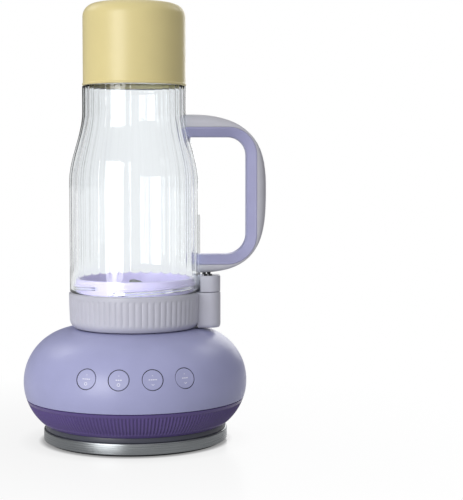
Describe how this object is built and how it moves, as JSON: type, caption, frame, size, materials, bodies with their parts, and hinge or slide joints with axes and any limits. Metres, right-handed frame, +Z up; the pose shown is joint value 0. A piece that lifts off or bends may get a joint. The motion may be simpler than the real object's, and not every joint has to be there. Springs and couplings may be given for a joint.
{
  "type": "personal tumbler blender",
  "caption": "Tumbler blender: clear fluted tumbler with handle and soft boot stands mouth down on a blade base that locks into a round motor base with front buttons.",
  "frame": {"origin": "on the motor's axis, in the plane of the foot's underside", "axes": "+Z up along the motor's axis, -Y towards the buttons, +X towards the tumbler's handle"},
  "size_m": [0.1742, 0.1604, 0.312],
  "materials": {
    "dome_plastic": "satin moulded lavender",
    "button_plastic": "satin moulded lavender",
    "purple_plastic": "fine vertical ribs, satin",
    "charcoal_plastic": "satin",
    "brushed_steel": "brushed round the ring",
    "black_rubber": "matt",
    "dark_plastic": "matt moulded",
    "screw_steel": "zinc plated",
    "socket_plastic": "satin moulded",
    "die_cast": "as cast",
    "lamination": "stacked laminations",
    "copper_wire": "varnished wire",
    "machined_steel": "ground",
    "brass": "satin",
    "carbon": "matt carbon",
    "circuit_board": "lacquered",
    "copper_bar": "turned",
    "collar_plastic": "satin grey lavender",
    "lavender_plastic": "semi gloss",
    "blade_steel": "polished, ground edges",
    "grey_silicone": "matt",
    "clear_copolyester": "clear",
    "yellow_silicone": "soft satin",
    "handle_plastic": "satin",
    "grip_plastic": "satin"
  },
  "bodies": {
    "base": {"dome_shell": "dome_plastic", "lower_shell": "purple_plastic", "plinth_band": "charcoal_plastic", "steel_ring": "brushed_steel", "foot_ring": "black_rubber", "bottom_cover": "dark_plastic", "cover_screws": "screw_steel", "cup_socket": "socket_plastic", "socket_seal": "black_rubber", "cord_gland": "black_rubber", "motor_top_bracket": "die_cast", "motor_bottom_bracket": "die_cast", "field_stack": "lamination", "field_windings": "copper_wire", "upper_bearing": "machined_steel", "lower_bearing": "machined_steel", "brush_holders": "brass", "carbon_brushes": "carbon", "motor_mounts": "black_rubber", "hanger_screws": "screw_steel", "tie_bolts": "screw_steel", "control_board": "circuit_board", "key_switches": "dark_plastic", "power_board": "circuit_board", "interlock_switch": "dark_plastic"},
    "rotor": {"armature_stack": "lamination", "armature_windings": "copper_wire", "commutator": "copper_bar", "motor_shaft": "machined_steel", "cooling_fan": "dark_plastic", "drive_coupler": "dark_plastic"},
    "key_1": {"button_1": "button_plastic"},
    "key_2": {"button_2": "button_plastic"},
    "key_3": {"button_3": "button_plastic"},
    "key_4": {"button_4": "button_plastic"},
    "bearing_unit": {"bearing_housing": "machined_steel", "blade_bushes": "brass", "blade_seal": "black_rubber"},
    "blade_unit": {"blade_collar": "collar_plastic", "blade_base": "lavender_plastic", "tab_block": "collar_plastic"},
    "blades": {"blade_shaft": "machined_steel", "lower_blade": "blade_steel", "upper_blade": "blade_steel", "blade_nut": "blade_steel", "driven_coupler": "dark_plastic"},
    "gasket": {"rim_gasket": "grey_silicone"},
    "tumbler": {"jar": "clear_copolyester", "boot": "yellow_silicone", "handle_shell": "handle_plastic", "handle_grip": "grip_plastic", "handle_screws": "screw_steel"}
  },
  "joints": [
    {"name": "motor_spin", "type": "hinge", "parent": "base", "child": "rotor", "pos_m": [0, 0, 0.038], "axis": [0, 0, 1], "continuous": true},
    {"name": "cup_lift", "type": "slide", "parent": "base", "child": "bearing_unit", "axis": [0, 0, 1], "range_m": [0, 0.06]},
    {"name": "cup_lock_turn", "type": "hinge", "parent": "bearing_unit", "child": "blade_unit", "pos_m": [0, 0, 0.09], "axis": [0, 0, 1], "range_deg": [-30, 0]},
    {"name": "blade_spin", "type": "hinge", "parent": "bearing_unit", "child": "blades", "pos_m": [0, 0, 0.09], "axis": [0, 0, 1], "continuous": true},
    {"name": "tumbler_unscrew", "type": "hinge", "parent": "blade_unit", "child": "gasket", "pos_m": [0, 0, 0.106], "axis": [0, 0, 1], "range_deg": [0, 330]},
    {"name": "tumbler_rise", "type": "slide", "parent": "gasket", "child": "tumbler", "axis": [0, 0, 1], "range_m": [0, 0.0112]},
    {"name": "button_1_press", "type": "slide", "parent": "base", "child": "key_1", "axis": [0.4025, 0.8611, -0.3107], "range_m": [0, 0.001], "stiffness_N_per_m": 2000},
    {"name": "button_2_press", "type": "slide", "parent": "base", "child": "key_2", "axis": [0.138, 0.9404, -0.3107], "range_m": [0, 0.001], "stiffness_N_per_m": 2000},
    {"name": "button_3_press", "type": "slide", "parent": "base", "child": "key_3", "axis": [-0.138, 0.9404, -0.3107], "range_m": [0, 0.001], "stiffness_N_per_m": 2000},
    {"name": "button_4_press", "type": "slide", "parent": "base", "child": "key_4", "axis": [-0.4025, 0.8611, -0.3107], "range_m": [0, 0.001], "stiffness_N_per_m": 2000}
  ],
  "couplings": [
    {"joint": "blade_spin", "follows": "motor_spin", "ratio": 1},
    {"joint": "tumbler_rise", "follows": "tumbler_unscrew", "m_per_rad": 0.0019099}
  ]
}
